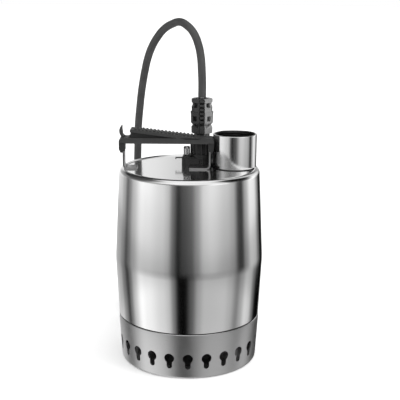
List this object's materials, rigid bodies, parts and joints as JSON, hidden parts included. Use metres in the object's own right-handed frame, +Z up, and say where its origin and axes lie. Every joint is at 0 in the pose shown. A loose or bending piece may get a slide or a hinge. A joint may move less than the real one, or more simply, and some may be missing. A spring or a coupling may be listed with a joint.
{
  "type": "submersible sump pump",
  "caption": "Small submersible drainage pump: polished barrel sleeve, perforated inlet strainer, top outlet socket, carrying handle and a coiled supply cable with its plug.",
  "frame": {"origin": "centre of the flat ring that the strainer stands on, at floor level, on the pump's axis", "axes": "+Z up along the pump's axis, X along the handle with +X towards the outlet socket, +Y away from the side that the picture shows"},
  "size_m": [0.149, 0.2905, 0.342],
  "materials": {
    "polished_steel": "polished",
    "satin_steel": "satin",
    "bracket_steel": "satin",
    "housing_plastic": "satin",
    "rubber_seal": "matte",
    "fastener_steel": "satin",
    "cast_aluminium": "cast",
    "ceramic": "ground",
    "motor_steel": "satin",
    "laminations": "stacked",
    "copper": "enamelled",
    "capacitor_plastic": "matte",
    "carbon": "matte",
    "lead_insulation": "matte",
    "impeller_steel": "satin",
    "handle_plastic": "satin",
    "gland_plastic": "satin",
    "relief_plastic": "satin",
    "cable_rubber": "satin",
    "tie_fabric": "woven",
    "plug_rubber": "satin",
    "pin_brass": "nickel-plated"
  },
  "bodies": {
    "pump": {"outer_sleeve": "polished_steel", "outlet_socket": "polished_steel", "pump_housing": "housing_plastic", "housing_oring": "rubber_seal", "housing_screws": "fastener_steel", "suction_wear_ring": "rubber_seal", "lower_bearing_plate": "cast_aluminium", "lower_bearing": "ceramic", "shaft_seal": "rubber_seal", "motor_can": "motor_steel", "motor_top_cap": "housing_plastic", "top_cap_oring": "rubber_seal", "upper_bearing_plate": "cast_aluminium", "upper_bearing": "ceramic", "stator_core": "laminations", "stator_windings": "copper", "stator_liner": "motor_steel", "run_capacitor": "capacitor_plastic", "overload_switch": "carbon", "motor_leads": "lead_insulation", "handle": "handle_plastic", "handle_bracket_left": "bracket_steel", "handle_bracket_right": "bracket_steel", "gland_base": "gland_plastic", "gland_oring": "rubber_seal", "gland_nut": "gland_plastic", "gland_screw": "fastener_steel", "gland_tab": "gland_plastic", "cable_connector": "gland_plastic", "strain_relief": "relief_plastic", "supply_cable": "cable_rubber", "cable_coil": "cable_rubber", "cable_tail": "cable_rubber", "coil_ties": "tie_fabric", "mains_plug": "plug_rubber", "plug_pins": "pin_brass"},
    "rotor": {"shaft": "motor_steel", "rotor_core": "laminations", "rotor_cage": "cast_aluminium", "thrust_ring": "carbon", "impeller": "impeller_steel", "impeller_washer": "fastener_steel", "impeller_nut": "fastener_steel"},
    "strainer": {"strainer": "satin_steel"}
  },
  "joints": [
    {"name": "rotor_spin", "type": "hinge", "parent": "pump", "child": "rotor", "pos_m": [0, 0, 0.1], "axis": [0, 0, 1], "continuous": true},
    {"name": "strainer_pull", "type": "slide", "parent": "pump", "child": "strainer", "axis": [0, 0, 1], "range_m": [-0.03, 0]}
  ]
}
